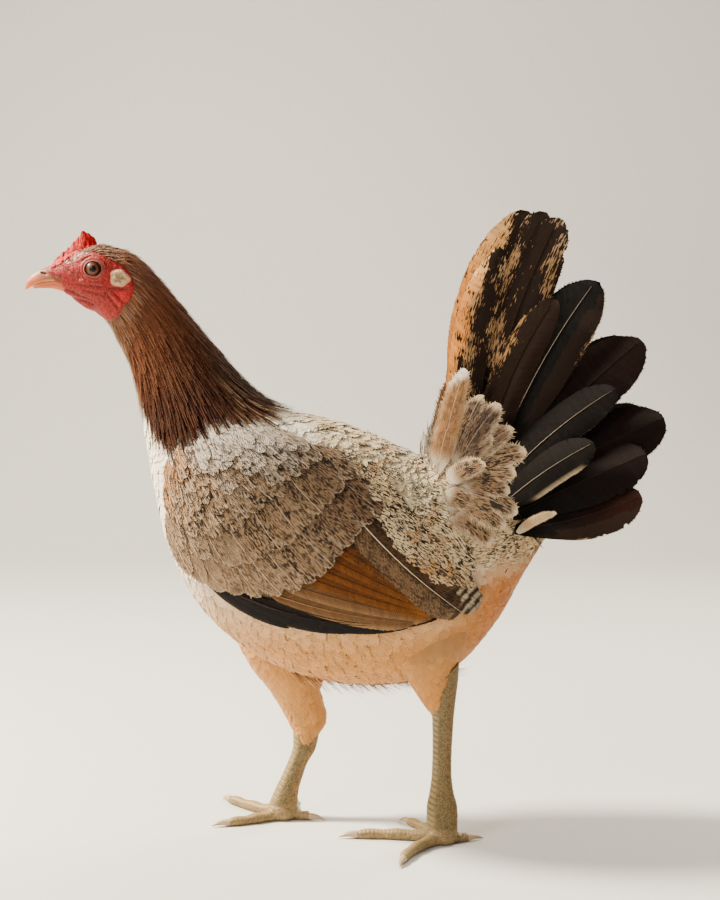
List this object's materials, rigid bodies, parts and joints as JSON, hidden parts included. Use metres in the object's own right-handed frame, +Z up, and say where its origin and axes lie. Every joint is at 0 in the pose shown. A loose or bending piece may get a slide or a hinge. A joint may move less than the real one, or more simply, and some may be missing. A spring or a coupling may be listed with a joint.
{
  "type": "hatch gamefowl hen, still life-size model",
  "caption": "Life-size hatch gamefowl hen standing still on both feet: red-brown neck, cream and speckled body, dark fanned tail, red face and comb.",
  "frame": {"origin": "on the floor, under the centre of the hen's bounding box", "axes": "+Z up, -X the way the hen faces, -Y her left side"},
  "size_m": [0.4212, 0.164, 0.4168],
  "materials": {
    "face_skin": "satin bare skin with fine bumps",
    "comb": "satin, finely pitted",
    "bill": "semi-gloss horn",
    "eye": "wet gloss",
    "ear_lobe": "matte skin",
    "hackle_plumage": "soft sheen of feathers",
    "body_plumage": "matte down and feathers",
    "wing_plumage": "matte feathers",
    "tail_plumage": "satin feathers",
    "leg_scales": "matte scales",
    "claws": "semi-gloss horn"
  },
  "bodies": {
    "root": {"head": "face_skin", "comb": "comb", "bill_upper": "bill", "bill_lower": "bill", "torso": "body_plumage", "neck": "hackle_plumage", "eye_left": "eye", "ear_lobe_left": "ear_lobe", "wing_left": "wing_plumage", "tail_left": "tail_plumage", "thigh_left": "body_plumage", "shank_left": "leg_scales", "eye_right": "eye", "ear_lobe_right": "ear_lobe", "wing_right": "wing_plumage", "tail_right": "tail_plumage", "thigh_right": "body_plumage", "shank_right": "leg_scales", "middle_toe_left": "leg_scales", "middle_claw_left": "claws", "outer_toe_left": "leg_scales", "outer_claw_left": "claws", "inner_toe_left": "leg_scales", "inner_claw_left": "claws", "rear_toe_left": "leg_scales", "rear_claw_left": "claws", "middle_toe_right": "leg_scales", "middle_claw_right": "claws", "outer_toe_right": "leg_scales", "outer_claw_right": "claws", "inner_toe_right": "leg_scales", "inner_claw_right": "claws", "rear_toe_right": "leg_scales", "rear_claw_right": "claws"}
  },
  "joints": []
}
